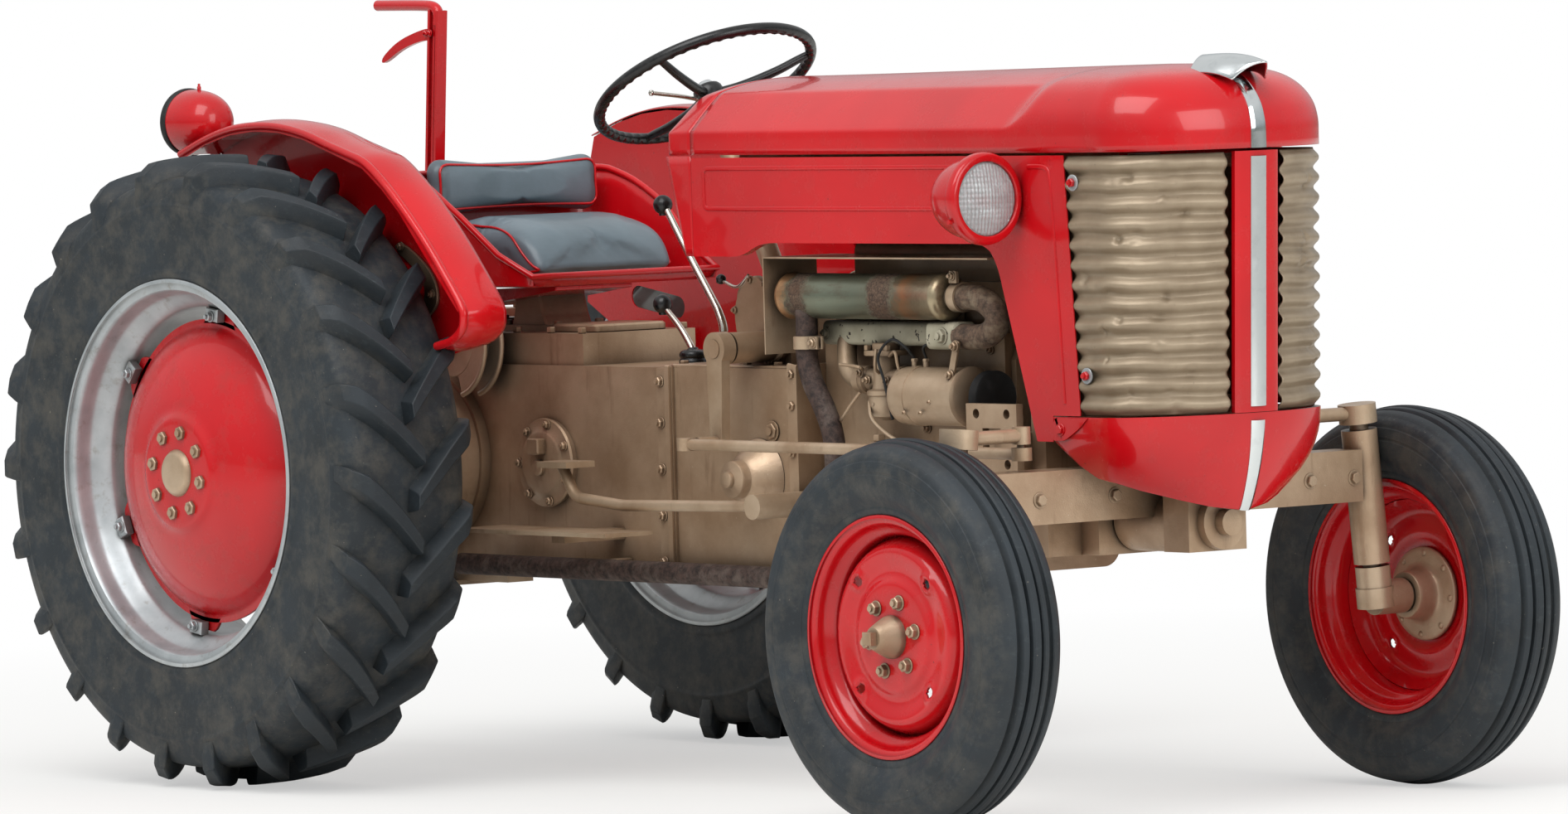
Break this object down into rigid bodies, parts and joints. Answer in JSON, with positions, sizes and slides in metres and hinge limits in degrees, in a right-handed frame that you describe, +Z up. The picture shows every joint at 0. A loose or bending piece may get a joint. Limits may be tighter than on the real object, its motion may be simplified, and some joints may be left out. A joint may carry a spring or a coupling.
{
  "type": "farm tractor",
  "caption": "Open-seat farm tractor with a lifting hood, corrugated grille, turning and steering wheels, shell fenders and a rear linkage.",
  "frame": {"origin": "on the floor under the middle of the overall length and width", "axes": "+X towards the nose, +Y to the driver's left, +Z up"},
  "size_m": [3.1508, 1.6, 1.532],
  "materials": {
    "red_paint": "glossy enamel with wear and dust",
    "bronze_paint": "satin metallic bronze over castings, oily in corners",
    "grille_paint": "satin beige over dented corrugated sheet",
    "silver_paint": "silver wheel paint",
    "tyre_rubber": "weathered rubber with dried soil",
    "black_rubber": "worn black rubber",
    "vinyl": "blue-grey vinyl with red piping",
    "chrome": "polished",
    "burnt_steel": "heat-stained with rust",
    "bare_steel": "dull and oily"
  },
  "bodies": {
    "chassis": {"engine_block": "bronze_paint", "bell_housing": "bronze_paint", "transmission_case": "bronze_paint", "axle_trumpets": "bronze_paint", "lift_cover": "bronze_paint", "drawbar": "bronze_paint", "front_support": "bronze_paint", "front_axle_beam": "bronze_paint", "cowl": "red_paint", "side_panels": "red_paint", "grille": "grille_paint", "grille_bar": "red_paint", "chin": "red_paint", "radiator": "bronze_paint", "fan": "black_rubber", "fuel_tank": "bronze_paint", "exhaust": "burnt_steel", "manifold": "bronze_paint", "heat_shield": "burnt_steel", "dynamo": "bronze_paint", "headlamps": "red_paint", "steering_box": "bronze_paint", "hand_levers": "bare_steel", "seat_pan": "red_paint", "seat_cushion": "vinyl", "back_cushion": "vinyl", "fenders": "red_paint", "rear_lamp": "red_paint", "quadrant": "bronze_paint", "pedals": "bronze_paint", "footrests": "bronze_paint"},
    "hood": {"hood": "red_paint", "hood_ornament": "chrome"},
    "steering_wheel": {"steering_wheel": "black_rubber"},
    "lift_arms": {"lift_arms": "bronze_paint"},
    "lift_rods": {"lift_rods": "bronze_paint"},
    "lower_links": {"lower_links": "bronze_paint"},
    "rear_wheel_right": {"rear_tyre_right": "tyre_rubber", "rear_rim_right": "silver_paint", "rear_disc_right": "red_paint"},
    "knuckle_right": {"knuckle_right": "bronze_paint"},
    "front_wheel_right": {"front_tyre_right": "tyre_rubber", "front_rim_right": "red_paint", "front_hub_right": "bronze_paint"},
    "drag_link_right": {"drag_link_right": "bronze_paint"},
    "drop_arm_right": {"drop_arm_right": "bronze_paint"},
    "rear_wheel_left": {"rear_tyre_left": "tyre_rubber", "rear_rim_left": "silver_paint", "rear_disc_left": "red_paint"},
    "knuckle_left": {"knuckle_left": "bronze_paint"},
    "front_wheel_left": {"front_tyre_left": "tyre_rubber", "front_rim_left": "red_paint", "front_hub_left": "bronze_paint"},
    "drag_link_left": {"drag_link_left": "bronze_paint"},
    "drop_arm_left": {"drop_arm_left": "bronze_paint"}
  },
  "joints": [
    {"name": "hood_hinge", "type": "hinge", "parent": "chassis", "child": "hood", "pos_m": [0.158, -0.254, 1.2175], "axis": [1, 0, 0], "range_deg": [0, 75]},
    {"name": "rear_wheel_right_spin", "type": "hinge", "parent": "chassis", "child": "rear_wheel_right", "pos_m": [-0.814, -0.65, 0.62], "axis": [0, 1, 0], "continuous": true},
    {"name": "steer_right", "type": "hinge", "parent": "chassis", "child": "knuckle_right", "pos_m": [1.216, -0.488, 0.69], "axis": [0, 0.0959, 0.9954], "range_deg": [-35, 35]},
    {"name": "front_wheel_right_spin", "type": "hinge", "parent": "knuckle_right", "child": "front_wheel_right", "pos_m": [1.216, -0.611, 0.358], "axis": [0, 1, 0], "continuous": true},
    {"name": "drag_link_right_swing", "type": "hinge", "parent": "knuckle_right", "child": "drag_link_right", "pos_m": [1.216, -0.338, 0.69], "axis": [0, 0.0959, 0.9954], "range_deg": [-36, 36]},
    {"name": "drop_arm_right_swing", "type": "hinge", "parent": "chassis", "child": "drop_arm_right", "pos_m": [0.226, -0.235, 0.85], "axis": [0, 1, 0], "range_deg": [-29.5, 29.5]},
    {"name": "rear_wheel_left_spin", "type": "hinge", "parent": "chassis", "child": "rear_wheel_left", "pos_m": [-0.814, 0.65, 0.62], "axis": [0, 1, 0], "continuous": true},
    {"name": "steer_left", "type": "hinge", "parent": "chassis", "child": "knuckle_left", "pos_m": [1.216, 0.488, 0.69], "axis": [0, -0.0959, 0.9954], "range_deg": [-35, 35]},
    {"name": "front_wheel_left_spin", "type": "hinge", "parent": "knuckle_left", "child": "front_wheel_left", "pos_m": [1.216, 0.611, 0.358], "axis": [0, 1, 0], "continuous": true},
    {"name": "drag_link_left_swing", "type": "hinge", "parent": "knuckle_left", "child": "drag_link_left", "pos_m": [1.216, 0.338, 0.69], "axis": [0, -0.0959, 0.9954], "range_deg": [-36, 36]},
    {"name": "drop_arm_left_swing", "type": "hinge", "parent": "chassis", "child": "drop_arm_left", "pos_m": [0.226, 0.235, 0.85], "axis": [0, 1, 0], "range_deg": [-29.5, 29.5]},
    {"name": "steering_wheel_turn", "type": "hinge", "parent": "chassis", "child": "steering_wheel", "pos_m": [-0.112, 0, 1.351], "axis": [-0.4848, 0, 0.8746], "range_deg": [-490, 490]},
    {"name": "lift_arms_swing", "type": "hinge", "parent": "chassis", "child": "lift_arms", "pos_m": [-0.944, 0, 0.85], "axis": [0, 1, 0], "range_deg": [-14, 32]},
    {"name": "lift_rods_swing", "type": "hinge", "parent": "lift_arms", "child": "lift_rods", "pos_m": [-1.24327, 0, 0.82907], "axis": [0, 1, 0], "range_deg": [-33, 15]},
    {"name": "lower_links_swing", "type": "hinge", "parent": "chassis", "child": "lower_links", "pos_m": [-0.874, 0, 0.424], "axis": [0, 1, 0], "range_deg": [-15, 33]}
  ],
  "couplings": [
    {"joint": "steer_left", "follows": "steer_right", "ratio": 1},
    {"joint": "drag_link_right_swing", "follows": "steer_right", "ratio": -1},
    {"joint": "drag_link_left_swing", "follows": "steer_right", "ratio": -1},
    {"joint": "drop_arm_right_swing", "follows": "steer_right", "ratio": 0.8258},
    {"joint": "drop_arm_left_swing", "follows": "steer_right", "ratio": -0.8258},
    {"joint": "steering_wheel_turn", "follows": "steer_right", "ratio": 13.9},
    {"joint": "lower_links_swing", "follows": "lift_arms_swing", "ratio": 1},
    {"joint": "lift_rods_swing", "follows": "lift_arms_swing", "ratio": -1}
  ]
}
